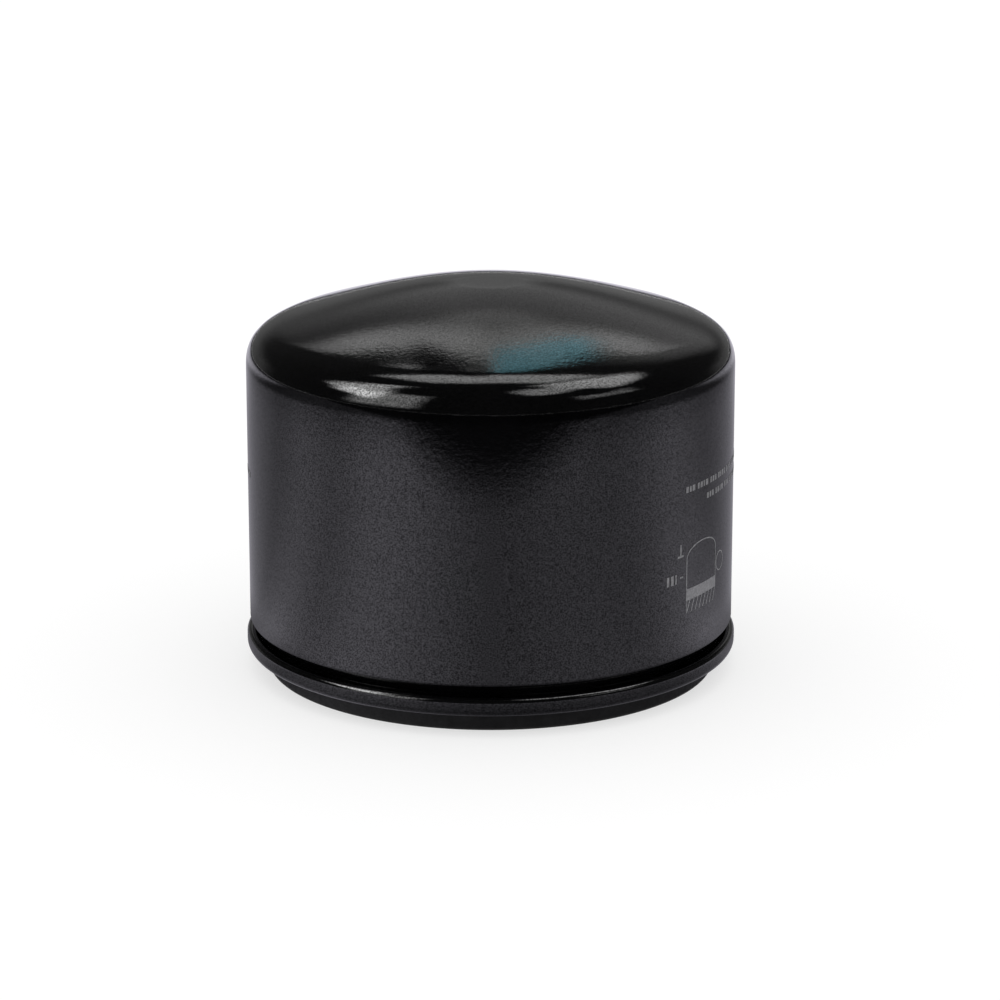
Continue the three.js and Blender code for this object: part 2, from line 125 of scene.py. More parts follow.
CAP_RADIUS = high("lower_end_cap").x - SHEET / 2
CAP_RIM = 3.0
LOWER_CAP_Z = low("lower_end_cap").z + SHEET / 2
UPPER_CAP_Z = high("upper_end_cap").z - SHEET / 2
CAP_THROAT_RADIUS = 10.9
CAP_THROAT_RIM = 2.0
SEAT_RADIUS = 7.0
TUBE_OUTER = high("center_tube").x
TUBE_SHEET = 0.4
TUBE_HOLE_RADIUS = 1.8
TUBE_ROWS = 3
TUBE_HOLES_ROUND = 8
TUBE_SOLID_END = 5.5
POTTING_INNER = 12.3
POTTING_OUTER = high("lower_potting").x
MEDIA_INNER = 12.8
MEDIA_OUTER = high("pleated_media").x
MEDIA_THICKNESS = 0.5
PLEATS = 42

CAGE_RADIUS = 9.8
CAGE_FLANGE = high("bypass_cage").x
CAGE_TOP = high("bypass_cage").z - SHEET / 2
CAGE_FLOOR = low("bypass_cage").z + SHEET / 2
CAGE_GUIDE = 3.0
CAGE_WINDOWS = 4
CAGE_WINDOW_WIDTH = 8.0
SEAL_INNER = 5.8
SEAL_OUTER = high("bypass_seal").x
POPPET_RADIUS = high("bypass_poppet").x
POPPET_HOLE = 1.55
STEM_RADIUS = 2.4
STEM_TENON = 1.4
STEM_HEAD = high("bypass_stem").x
SPRING_RADIUS = 5.6
SPRING_WIRE = 0.9
SPRING_TURNS = 5
LEAF = 0.6
LEAF_RING_INNER = 8.0
LEAF_RING_OUTER = 13.5
LEAF_COUNT = 4
LEAF_WIDTH = 7.0
LEAF_CREST = (26.4, 55.8)
LEAF_TIP = (29.6, 54.4)

# Facets round a full circle
SHELL_FACETS = 360
INNER_FACETS = 160
SMALL_FACETS = 96


# ---- Outlines ----


def arc(centre, radius, start, end, steps):
    """Points on an arc. Angles are in degrees, from +radius towards +height."""
    angles = np.radians(np.linspace(start, end, steps + 1))
    return [(centre[0] + radius * math.cos(a), centre[1] + radius * math.sin(a)) for a in angles]


def corner_arc(before, corner, after, radius, steps):
    """Points that round one corner of a line."""
    p, q, r = Vector(before), Vector(corner), Vector(after)
    back, on = (p - q).normalized(), (r - q).normalized()
    half = back.angle(on) / 2
    reach = radius / math.tan(half)
    centre = q + (back + on).normalized() * (radius / math.sin(half))
    start, end = q + back * reach - centre, q + on * reach - centre
    turn = math.atan2(start.x * end.y - start.y * end.x, start.dot(end))
    return [tuple(centre + Matrix.Rotation(turn * k / steps, 2) @ start) for k in range(steps + 1)]


def bent(points, radius, steps=8):
    """An open line with each inner corner rounded."""
    path = [points[0]]
    for before, corner, after in zip(points, points[1:], points[2:]):
        path += corner_arc(before, corner, after, radius, steps)
    return path + [points[-1]]


def rounded(points, radius, steps=5):
    """A closed outline with every corner rounded."""
    path = []
    for i, corner in enumerate(points):
        path += corner_arc(points[i - 1], corner, points[(i + 1) % len(points)], radius, steps)
    return path


def sheet_outline(path, thickness, round_ends=True):
    """The closed outline of a sheet whose middle follows the path."""
    line = [Vector(p) for p in path]
    left, right = [], []
    for i, p in enumerate(line):
        before = (p - line[max(i - 1, 0)]).normalized()
        after = (line[min(i + 1, len(line) - 1)] - p).normalized()
        along = (before + after).normalized()
        straight = along.dot(after) if 0 < i < len(line) - 1 else 1
        across = Vector((-along.y, along.x)) * (thickness / 2 / straight)
        left.append(tuple(p + across))
        right.append(tuple(p - across))
    if not round_ends:
        return left + right[::-1]
    return left + end_cap(left[-1], right[-1]) + right[::-1] + end_cap(right[0], left[0])


def end_cap(first, last, share=0.35, steps=3):
    """Eases the two corners at a sheet's end, from first to last, within the sheet's end plane."""
    a, b = Vector(first), Vector(last)
    outward = Vector((-(b - a).y, (b - a).x)).normalized()
    ease = (b - a).length * share
    points = []
    for k in range(1, 2 * steps):
        turn = math.pi * k / (2 * steps)
        along = 0.5 - 0.5 * math.cos(turn)
        points.append(tuple(a.lerp(b, along) + outward * ease * (math.sin(turn) - 1) * 0.5))
    return points


def split(a, b, pieces):
    """Evenly spaced points from a up to, but not including, b."""
    return [tuple(p) for p in np.linspace(a, b, pieces, endpoint=False)]


def rectangle(inner, outer, bottom, top):
    return [(inner, bottom), (outer, bottom), (outer, top), (inner, top)]


# ---- Meshes ----


def put(name, data):
    """A new object in the scene that shows the given mesh or camera."""
    obj = bpy.data.objects.new(name, data)
    bpy.context.scene.collection.objects.link(obj)
    return obj


def add_object(name, vertices, faces):
    """A mesh object from vertices in mm."""
    mesh = bpy.data.meshes.new(name)
    mesh.from_pydata((np.asarray(vertices) * MM).tolist(), [], faces)
    mesh.validate()
    bm = bmesh.new()
    bm.from_mesh(mesh)
    bmesh.ops.recalc_face_normals(bm, faces=bm.faces)
    bm.to_mesh(mesh)
    bm.free()
    return put(name, mesh)


def turned(name, outline, facets, reshape=None):
    """A solid turned round Z. A point on the axis becomes one vertex.

    reshape(radius, height, angle) may move each ring's points, and returns the new radius and height.
    """
    vertices, rings = [], []
    angles = np.linspace(0, 2 * math.pi, facets, endpoint=False)
    for radius, height in outline:
        if abs(radius) < 1e-6:
            rings.append([len(vertices)])
            vertices.append((0, 0, height))
            continue
        r, z = np.full(facets, radius), np.full(facets, height)
        if reshape:
            r, z = reshape(r, z, angles)
        rings.append(range(len(vertices), len(vertices) + facets))
        vertices += zip(r * np.cos(angles), r * np.sin(angles), z)
    faces = []
    for a, b in zip(rings, rings[1:] + rings[:1]):
        if len(a) == 1 and len(b) == 1:
            continue
        for i in range(facets):
            j = (i + 1) % facets
            if len(a) == 1:
                faces.append((a[0], b[j], b[i]))
            elif len(b) == 1:
                faces.append((a[i], a[j], b[0]))
            else:
                faces.append((a[i], a[j], b[j], b[i]))
    return add_object(name, vertices, faces)


def extruded(name, outline, bottom, top):
    """A prism between two heights with a closed outline in the XY plane, in mm."""
    count = len(outline)
    vertices = [(x, y, bottom) for x, y in outline] + [(x, y, top) for x, y in outline]
    faces = [(i, (i + 1) % count, (i + 1) % count + count, i + count) for i in range(count)]
    faces += [tuple(range(count))[::-1], tuple(range(count, 2 * count))]
    return add_object(name, vertices, faces)


def apply_modifiers(obj):
    bpy.context.view_layer.objects.active = obj
    for modifier in list(obj.modifiers):
        bpy.ops.object.modifier_apply(modifier=modifier.name)
    return obj


def cut(obj, cutters):
    """Cuts the cutters out of obj and deletes them."""
    for cutter in cutters:
        modifier = obj.modifiers.new("cut", "BOOLEAN")
        modifier.operation = "DIFFERENCE"
        modifier.solver = "EXACT"
        modifier.object = cutter
    apply_modifiers(obj)
    for cutter in cutters:
        bpy.data.meshes.remove(cutter.data)
    return obj


def joined(name, objects):
    """One object with all the given objects' meshes."""
    bm = bmesh.new()
    for obj in objects:
        bm.from_mesh(obj.data)
        bpy.data.meshes.remove(obj.data)
    mesh = bpy.data.meshes.new(name)
    bm.to_mesh(mesh)
    bm.free()
    return put(name, mesh)


def spun(obj, angle):
    """A copy of obj turned round Z, with the turn in its mesh."""
    copy = put(obj.name, obj.data.copy())
    copy.data.transform(Matrix.Rotation(angle, 4, "Z"))
    return copy


def around(obj, count, start=0.0):
    """Copies of obj evenly spaced round Z, in place of it."""
    copies = [spun(obj, start + 2 * math.pi * i / count) for i in range(count)]
    bpy.data.meshes.remove(obj.data)
    return copies


def smooth(obj, sharp_degrees=40):
    """Smooth shading that keeps flat faces flat and edges past the angle sharp."""
    obj.data.shade_smooth()
    obj.data.set_sharp_from_angle(angle=math.radians(sharp_degrees))
    modifier = obj.modifiers.new("normals", "WEIGHTED_NORMAL")
    modifier.keep_sharp = True
    return apply_modifiers(obj)


# ---- Materials ----


class Nodes:
    """A short way to write a material's nodes."""

    def __init__(self, name):
        self.material = bpy.data.materials.new(name)
        self.material.use_nodes = True
        self.tree = self.material.node_tree
        self.shader = self.tree.nodes["Principled BSDF"]
        self.place = self.add("ShaderNodeTexCoord").outputs["Object"]

    def add(self, kind, inputs=None, **settings):
        node = self.tree.nodes.new(kind)
        for key, value in settings.items():
            setattr(node, key, value)
        for key, value in (inputs or {}).items():
            if isinstance(value, bpy.types.NodeSocket):
                self.tree.links.new(value, node.inputs[key])
            else:
                node.inputs[key].default_value = value
        return node

    def set(self, **values):
        """Uniform numbers on the shader's own sockets."""
        for key, value in values.items():
            self.shader.inputs[key.replace("_", " ")].default_value = value

    def link(self, output, socket):
        self.tree.links.new(output, self.shader.inputs[socket])

    def noise(self, size_mm, detail=2.0, roughness=0.5, stretch=(1, 1, 1)):
        """Noise whose features are about size_mm across, stretched along the axes."""
        scaled = self.add("ShaderNodeMapping", {"Vector": self.place, "Scale": [1 / s for s in stretch]})
        settings = {"Scale": 1 / (size_mm * MM), "Detail": detail, "Roughness": roughness}
        texture = self.add("ShaderNodeTexNoise", {"Vector": scaled.outputs["Vector"], **settings})
        return texture.outputs["Fac"]

    def ramp(self, value, stops):
        """Maps a value to colours or greys at the given positions."""
        node = self.add("ShaderNodeValToRGB", {"Fac": value})
        elements = node.color_ramp.elements
        while len(elements) < len(stops):
            elements.new(0.5)
        for element, (position, colour) in zip(elements, stops):
            element.position = position
            element.color = (*colour, 1) if isinstance(colour, tuple) else (*[colour] * 3, 1)
        return node.outputs["Color"]

    def math(self, operation, a, b=0.0):
        return self.add("ShaderNodeMath", {0: a, 1: b}, operation=operation).outputs[0]

    def between(self, share, low_end, high_end):
        """From low_end to high_end as share goes from 0 to 1."""
        inputs = {0: share, 1: high_end - low_end, 2: low_end}
        return self.add("ShaderNodeMath", inputs, operation="MULTIPLY_ADD").outputs[0]

    def mix(self, share, a, b):
        return self.add("ShaderNodeMix", {0: share, 6: a, 7: b}, data_type="RGBA").outputs[2]

    def bump(self, layers):
        """Bumps from (height, depth in mm) layers, on top of each other."""
        normal = None
        for height, depth_mm in layers:
            inputs = {"Height": height, "Distance": depth_mm * MM, "Strength": 1.0}
            if normal:
                inputs["Normal"] = normal
            normal = self.add("ShaderNodeBump", inputs).outputs["Normal"]
        self.link(normal, "Normal")


def black_paint():
    """Gloss black baked enamel: orange peel, a fine grain and faint cloudiness in the gloss."""
    m = Nodes("black_paint")
    colours = [(0.3, (0.0005, 0.0005, 0.0006)), (0.7, (0.0011, 0.0011, 0.0013))]
    m.link(m.ramp(m.noise(9, detail=3), colours), "Base Color")
    m.link(m.ramp(m.noise(2.5, detail=4, roughness=0.6), [(0.3, 0.045), (0.7, 0.075)]), "Roughness")
    m.link(m.ramp(m.noise(0.2, detail=2), [(0.39, 0.16), (0.61, 0.62)]), "Specular IOR Level")
    m.bump([(m.noise(0.7, detail=2), 0.009), (m.noise(0.25, detail=2, roughness=0.6), 0.003)])
    return m.material


def ink():
    """Pale grey screen-printed ink, thin and slightly broken up."""
    m = Nodes("print_ink")
    m.set(Roughness=0.35, Specular_IOR_Level=0.5)
    colours = [(0.3, (0.08, 0.08, 0.082)), (0.7, (0.18, 0.18, 0.185))]
    m.link(m.ramp(m.noise(0.35, detail=3), colours), "Base Color")
    return m.material


def gasket_rubber():
    """Matt black nitrile with a fine moulded grain."""
    m = Nodes("gasket_rubber")
    m.set(Specular_IOR_Level=0.25)
    colours = [(0.3, (0.004, 0.004, 0.004)), (0.7, (0.008, 0.008, 0.0085))]
    m.link(m.ramp(m.noise(1.4, detail=4), colours), "Base Color")
    m.link(m.ramp(m.noise(0.6, detail=3), [(0.3, 0.5), (0.7, 0.68)]), "Roughness")
    m.bump([(m.noise(0.28, detail=3, roughness=0.65), 0.012)])
    return m.material


def valve_rubber():
    """Satin red-brown silicone."""
    m = Nodes("valve_rubber")
    m.set(Specular_IOR_Level=0.4, Subsurface_Weight=0.04)
    colours = [(0.3, (0.24, 0.045, 0.02)), (0.7, (0.33, 0.07, 0.035))]
    m.link(m.ramp(m.noise(3, detail=3), colours), "Base Color")
    m.link(m.ramp(m.noise(0.8, detail=3), [(0.3, 0.42), (0.7, 0.58)]), "Roughness")
    m.bump([(m.noise(0.3, detail=2), 0.006)])
    return m.material


def bare_metal(name, dark, light, rough, grain, spangle=1.2):
    """Bare or plated sheet steel.

    rough is (lowest, highest), grain stretches the streaks, and spangle is the size of the dull spots.
    """
    m = Nodes(name)
    m.set(Metallic=1.0)
    streaks = m.noise(0.35, detail=4, roughness=0.6, stretch=grain)
    stain = m.noise(6, detail=4)
    colour = m.ramp(streaks, [(0.25, dark), (0.75, light)])
    m.link(m.mix(m.ramp(stain, [(0.45, 0.0), (0.8, 0.35)]), colour, (*dark, 1)), "Base Color")
    m.link(m.ramp(m.noise(spangle, detail=3), [(0.3, rough[0]), (0.7, rough[1])]), "Roughness")
    m.bump([(streaks, 0.004)])
    return m.material


def plastisol():
    """Cured potting compound, with small pores and a faint flow."""
    m = Nodes("plastisol")
    m.set(Specular_IOR_Level=0.45)
    colours = [(0.3, (0.32, 0.3, 0.25)), (0.7, (0.47, 0.45, 0.39))]
    m.link(m.ramp(m.noise(2.2, detail=4), colours), "Base Color")
    m.link(m.ramp(m.noise(0.9), [(0.3, 0.38), (0.7, 0.6)]), "Roughness")
    m.bump([(m.noise(1.5, detail=3), 0.05)])
    return m.material


def filter_paper():
    """Resin-treated cellulose: fibres, mottling and a dull surface."""
    m = Nodes("filter_paper")
    m.set(Specular_IOR_Level=0.2, Roughness=0.92)
    fibres = m.noise(0.3, detail=6, roughness=0.75, stretch=(1, 1, 2.5))
    blotch = m.noise(5, detail=3)
    colour = m.ramp(fibres, [(0.3, (0.5, 0.31, 0.12)), (0.7, (0.78, 0.58, 0.3))])
    m.link(m.mix(m.ramp(blotch, [(0.4, 0.0), (0.7, 0.3)]), colour, (0.45, 0.27, 0.1, 1)), "Base Color")
    m.bump([(fibres, 0.05)])
    return m.material


PAINT = black_paint()
INK = ink()
GASKET_RUBBER = gasket_rubber()
VALVE_RUBBER = valve_rubber()
ZINC = bare_metal("zinc_plate", (0.42, 0.43, 0.44), (0.68, 0.69, 0.7), (0.26, 0.42), (3, 3, 3), 2.5)
TIN = bare_metal("tin_plate", (0.5, 0.5, 0.47), (0.72, 0.72, 0.69), (0.2, 0.34), (8, 1, 1))
SPRING_STEEL = bare_metal("spring_steel", (0.17, 0.18, 0.2), (0.36, 0.38, 0.4), (0.24, 0.4), (1, 1, 5))
PLASTISOL = plastisol()
PAPER = filter_paper()


def finished(obj, material, body="root", nodes=()):
    """Gives a piece its material, hangs it under its body and hides the CAD nodes that it stands for."""
    obj.data.materials.clear()
    obj.data.materials.append(material)
    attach(obj, body)
    if nodes:
        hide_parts(*nodes)
    return obj


# ---- Shell ----

# The seam's layers from the outside in, at the middle of each sheet. Lid, canister, lid, canister, lid.
SEAM_WALL = RIM_RADIUS - SHEET / 2
BODY_HOOK = SEAM_WALL - LAYER
COVER_HOOK = BODY_HOOK - LAYER
NECK = COVER_HOOK - LAYER
CHUCK_WALL = NECK - LAYER
CURL_Z = SEAM_TOP - SHEET / 2 - LAYER
FOLD_Z = SEAM_BOTTOM + SHEET / 2 + 2 * LAYER
HOOK_LENGTH = 0.75


def crown_z(radius):
    """Height of the middle of the crown's sheet: a hyperbola turned round Z, rounded at the top."""
    return CROWN_TOP - SHEET / 2 - CROWN_DROP * (math.hypot(1, radius / CROWN_SPREAD) - 1)


def shoulder_sizes():
    """The shoulder's bend between crown and knuckle, and the knuckle, at the middle of the sheet.

    Returns the lean at the crown's edge, the bend's centre, the knuckle's radius and its centre.
    """
    lean = math.atan(CROWN_DROP * CROWN_EDGE / CROWN_SPREAD**2 / math.hypot(1, CROWN_EDGE / CROWN_SPREAD))
    bend_r = CROWN_EDGE - SHOULDER_RADIUS * math.sin(lean)
    bend_z = crown_z(CROWN_EDGE) - SHOULDER_RADIUS * math.cos(lean)
    foot_r = bend_r + SHOULDER_RADIUS * math.sin(SHOULDER_LEAN)
    foot_z = bend_z + SHOULDER_RADIUS * math.cos(SHOULDER_LEAN)
    knuckle = (CAN_RADIUS - SHEET / 2 - foot_r) / (1 - math.sin(SHOULDER_LEAN))
    centre = (CAN_RADIUS - SHEET / 2 - knuckle, foot_z - knuckle * math.cos(SHOULDER_LEAN))
    return lean, (bend_r, bend_z), knuckle, centre


CROWN_LEAN, BEND_CENTRE, KNUCKLE_RADIUS, KNUCKLE_CENTRE = shoulder_sizes()


def dome_path():
    """The middle of the canister's sheet, from the axis to where the straight wall begins."""
    flat_z = crown_z(CROWN_FLAT)
    crown = [(r, crown_z(r)) for r in np.linspace(CROWN_FLAT + 0.5, CROWN_EDGE, 36)]
    foot = 90 - math.degrees(SHOULDER_LEAN)
    return [
        (0, flat_z),
        (1.5, flat_z),
        (3.2, flat_z),
        *corner_arc((0, flat_z), (CROWN_FLAT, flat_z), crown[0], 4.0, 5),
        *crown,
        *arc(BEND_CENTRE, SHOULDER_RADIUS, 90 - math.degrees(CROWN_LEAN), foot, 16)[1:],
        *arc(KNUCKLE_CENTRE, KNUCKLE_RADIUS, foot, 0, 30)[1:],
    ]


def eased(points, reach):
    """The same line, with each point moved to the mean of the stretch up to reach on each side of it."""
    points = np.array(points)
    along = np.concatenate([[0], np.cumsum(np.hypot(*np.diff(points, axis=0).T))])
    middle = along[1:-1]
    width = np.minimum(reach, np.minimum(middle, along[-1] - middle))
    fine = np.linspace(0, along[-1], 4000)
    means = []
    for values in points.T:
        level = np.interp(fine, along, values)
        area = np.concatenate([[0], np.cumsum((level[1:] + level[:-1]) / 2 * np.diff(fine))])
        gained = np.interp(middle + width, fine, area) - np.interp(middle - width, fine, area)
        means.append(gained / (2 * width))
    return [tuple(points[0]), *zip(*means), tuple(points[-1])]


def draw_marks(radius, height, angle):
    """The streaks that the press leaves along the shoulder, as shallow swells of the sheet."""
    out = radius[0] - KNUCKLE_CENTRE[0]
    up = height[0] - KNUCKLE_CENTRE[1]
    lean = math.atan2(up, out)
    share = math.exp(-(((math.degrees(lean) - 45) / 22) ** 2)) if out > 0 and up > 0 else 0.0
    if share < 0.02:
        return radius, height
    along = lean * KNUCKLE_RADIUS
    swell = np.array(
        [
            noise.noise(Vector((math.cos(a) * 2.4, math.sin(a) * 2.4, along * 0.9)))
            + 0.45 * noise.noise(Vector((math.cos(a) * 6, math.sin(a) * 6, along * 2.3 + 40)))
            for a in angle
        ]
    )
    depth = 0.02 * share * swell
    return radius + depth * math.cos(lean), height + depth * math.sin(lean)


def build_canister():
    radius = CAN_RADIUS - SHEET / 2
    top = KNUCKLE_CENTRE[1]
    heights = [*np.linspace(top, top - 2, 8)[1:], *np.linspace(top - 2, WALL_BOTTOM + 2, 6)[1:]]
    wall = [(radius, z) for z in heights]
    foot = bent([wall[-1], (radius, WALL_BOTTOM), (NECK, NECK_TOP), (NECK, FOLD_Z)], SHEET, 8)[1:-1]
    fold = arc((NECK + LAYER, FOLD_Z), LAYER, 180, 360, 10)
    path = [*eased([*dome_path(), *wall], KNUCKLE_EASE), *foot, *fold, (BODY_HOOK, FOLD_Z + HOOK_LENGTH)]
    can = turned("painted_canister", sheet_outline(path, SHEET), SHELL_FACETS, draw_marks)
    can.data.shade_smooth()
    return finished(can, PAINT, nodes=["canister"])


def build_lid():
    foot_z = SEAM_BOTTOM + SHEET / 2
    corner = 0.9
    channel = bent(
        [
            (LIP_RADIUS, LIP_BOTTOM),
            (LIP_RADIUS, CHANNEL_Z),
            (CHUCK_WALL, CHANNEL_Z),
            (CHUCK_WALL, foot_z),
            (SEAM_WALL, foot_z),
        ],
        SHEET,
    )[:-1]
    path = [
        *channel,
        *arc((SEAM_WALL - corner, foot_z + corner), corner, -90, 0, 10),
        *arc((BODY_HOOK, CURL_Z), LAYER, 0, 180, 14),
        (COVER_HOOK, CURL_Z - HOOK_LENGTH),
    ]
    lid = smooth(turned("painted_lid", sheet_outline(path, SHEET), SHELL_FACETS))
    return finished(lid, PAINT, nodes=["seaming_lid"])


def build_seam_sealant():
    ring = turned("seam_sealant", arc((BODY_HOOK, CURL_Z + 0.04), 0.15, 0, 330, 11), SHELL_FACETS)
    ring.data.shade_smooth()
    return finished(ring, PLASTISOL, nodes=["seam_compound"])


def build_gasket():
    outline = rounded(rectangle(GASKET_INNER, GASKET_OUTER, 0, GASKET_TOP), 0.35)
    gasket = smooth(turned("face_gasket", outline, SHELL_FACETS))
    return finished(gasket, GASKET_RUBBER, nodes=["sealing_gasket"])


def build_thread_plate():
    thread_low, thread_high = PLATE_BOTTOM + 0.9, BOSS_TOP - 0.9
    rows = 110

    def thread(radius, height, angle):
        """Cuts the 60 degree thread into the bore's wall, fading out at both chamfers."""
        if radius[0] > BORE_RADIUS + 0.01:
            return radius, height
        phase = (height - PLATE_BOTTOM) / THREAD_PITCH - angle / (2 * math.pi)
        ridge = np.abs((phase % 1) * 2 - 1)
        depth = np.clip((ridge - 0.1) / 0.8, 0, 1) * THREAD_DEPTH
        fade = np.clip(np.minimum(height - thread_low, thread_high - height) / 0.4, 0, 1)
        return radius + depth * fade, height

    bore = [(BORE_RADIUS, z) for z in np.linspace(thread_high, thread_low, rows)]
    edge_low, edge_high = (PLATE_RADIUS, PLATE_BOTTOM), (PLATE_RADIUS, PLATE_TOP)
    boss_low, boss_high = (BOSS_RADIUS, PLATE_TOP), (BOSS_RADIUS, BOSS_TOP)
    body = [
        (BORE_RADIUS + 0.9, PLATE_BOTTOM),
        *corner_arc((0, PLATE_BOTTOM), edge_low, edge_high, 0.5, 5),
        *corner_arc(edge_low, edge_high, boss_low, 0.3, 4),
        *corner_arc(edge_high, boss_low, boss_high, 1.2, 8),
        *corner_arc(boss_low, boss_high, (0, BOSS_TOP), 0.3, 4),
        (BORE_RADIUS + 0.9, BOSS_TOP),
    ]
    plate = turned("threaded_plate", [*body, *bore], 144, thread)
    chamfer = 0.3
    outline = [
        (0, PLATE_BOTTOM - 1),
        (INLET_RADIUS + 1 + chamfer, PLATE_BOTTOM - 1),
        (INLET_RADIUS, PLATE_BOTTOM + chamfer),
        (INLET_RADIUS, PLATE_TOP - chamfer),
        (INLET_RADIUS + 1 + chamfer, PLATE_TOP + 1),
        (0, PLATE_TOP + 1),
    ]
    drill = turned("drill", outline, 48)
    drill.data.transform(Matrix.Translation((INLET_CIRCLE * MM, 0, 0)))
    cut(plate, [joined("drills", around(drill, INLET_COUNT, math.pi / INLET_COUNT))])
    return finished(smooth(plate, 30), ZINC, nodes=["thread_plate"])


# ---- Drain-back valve ----


def build_drainback_valve():
    """One moulding: its collar stays on the boss, and on the real valve its skirt flexes up as oil comes
    in.
    """
    line = [
        (COLLAR_INNER, COLLAR_Z),
        (SKIRT_TOP_RADIUS, COLLAR_Z),
        (SKIRT_FOOT_RADIUS, SKIRT_FOOT_Z),
        (LIP_TIP_RADIUS, SKIRT_FOOT_Z),
    ]
    rounds = bent(line, 1.0, 6)
    path = []
    for a, b in zip(rounds, rounds[1:]):
        path += split(a, b, max(1, round(math.dist(a, b) / 0.6)))
    path.append(rounds[-1])
    valve = smooth(turned("drainback_valve", sheet_outline(path, RUBBER), INNER_FACETS), 60)
    valve.data.materials.append(VALVE_RUBBER)
    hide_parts("drainback_valve_collar", "drainback_valve_lip")
    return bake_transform(valve)


# ---- Filter element ----


def build_end_caps():
    lower = bent(
        [
            (CAP_THROAT_RADIUS, LOWER_CAP_Z + CAP_THROAT_RIM),
            (CAP_THROAT_RADIUS, LOWER_CAP_Z),
            (CAP_RADIUS, LOWER_CAP_Z),
            (CAP_RADIUS, LOWER_CAP_Z + CAP_RIM),
        ],
        0.5,
    )
    upper = bent(
        [(SEAT_RADIUS, UPPER_CAP_Z), (CAP_RADIUS, UPPER_CAP_Z), (CAP_RADIUS, UPPER_CAP_Z - CAP_RIM)], 0.5
    )
    for name, path, node in (
        ("element_cap_lower", lower, "lower_end_cap"),
        ("element_cap_upper", upper, "upper_end_cap"),
    ):
        cap = smooth(turned(name, sheet_outline(path, SHEET), INNER_FACETS))
        finished(cap, TIN, nodes=[node])


def build_center_tube():
    bottom, top = low("center_tube").z, high("center_tube").z
    outline = rounded(rectangle(TUBE_OUTER - TUBE_SHEET, TUBE_OUTER, bottom, top), 0.08, 2)
    tube = turned("perforated_tube", outline, INNER_FACETS)
    punch = turned("punch", [(0, -2), (TUBE_HOLE_RADIUS, -2), (TUBE_HOLE_RADIUS, 2), (0, 2)], 40)
    punch.data.transform(Matrix.Rotation(math.pi / 2, 4, "Y"))
    pitch = (top - bottom - 2 * TUBE_SOLID_END) / (TUBE_ROWS - 1)
    punches = []
    for row in range(TUBE_ROWS):
        placed = bpy.data.objects.new("placed", punch.data.copy())
        place = (TUBE_OUTER * MM, 0, (bottom + TUBE_SOLID_END + row * pitch) * MM)
        placed.data.transform(Matrix.Translation(place))
        punches += around(placed, TUBE_HOLES_ROUND, (row % 2) * math.pi / TUBE_HOLES_ROUND)
    bpy.data.meshes.remove(punch.data)
    cut(tube, [joined("punches", punches)])
    return finished(smooth(tube, 30), TIN, nodes=["center_tube"])


def build_potting():
    for name, node in (("potting_lower", "lower_potting"), ("potting_upper", "upper_potting")):
        section = rectangle(POTTING_INNER, POTTING_OUTER, low(node).z, high(node).z)
        ring = smooth(turned(name, rounded(section, 0.2, 4), INNER_FACETS))
        finished(ring, PLASTISOL, nodes=[node])


def build_media():
    """One strip of paper folded into pleats: two parallel lines of folds, with each fold rounded."""
    pitch = 2 * math.pi / PLEATS

    def folds(offset):
        inner_half = pitch / 2 - (MEDIA_THICKNESS * 0.62 - offset) / MEDIA_INNER
        outer_half = (MEDIA_THICKNESS * 0.62 + offset) / MEDIA_OUTER
        inner = MEDIA_INNER + MEDIA_THICKNESS / 2 + offset
        outer = MEDIA_OUTER - MEDIA_THICKNESS / 2 + offset
        corners = []
        for i in range(PLEATS):
            for angle, radius in (
                (-inner_half, inner),
                (-outer_half, outer),
                (outer_half, outer),
                (inner_half, inner),
            ):
                turn = i * pitch + angle
                corners.append((radius * math.cos(turn), radius * math.sin(turn)))
        return rounded(corners, 0.08 if offset < 0 else 0.22, 3)

    outside, inside = folds(MEDIA_THICKNESS / 2), folds(-MEDIA_THICKNESS / 2)
    count = len(outside)
    levels = np.linspace(low("pleated_media").z, high("pleated_media").z, 9)
    vertices = []
    for level in levels:
        vertices += [(x, y, level) for x, y in outside] + [(x, y, level) for x, y in inside]
    faces = []
    for row in range(len(levels) - 1):
        a = row * 2 * count
        b = a + 2 * count
        for i in range(count):
            j = (i + 1) % count
            faces.append((a + i, a + j, b + j, b + i))
            faces.append((a + count + j, a + count + i, b + count + i, b + count + j))
    for a in (0, (len(levels) - 1) * 2 * count):
        for i in range(count):
            j = (i + 1) % count
            faces.append((a + i, a + j, a + count + j, a + count + i))
    paper = smooth(add_object("filter_paper", vertices, faces), 50)
    return finished(paper, PAPER, nodes=["pleated_media"])


def build_seam_clip():
    grip, depth = 1.15, 4.0
    back = MEDIA_OUTER + 0.3
    line = bent([(back - depth, -grip), (back, -grip), (back, grip), (back - depth, grip)], 0.5, 6)
    outline = sheet_outline(line, 0.3)
    clip = smooth(extruded("seam_clip", outline, low("media_seam_clip").z, high("media_seam_clip").z), 30)
    return finished(clip, TIN, nodes=["media_seam_clip"])


# ---- Bypass valve ----


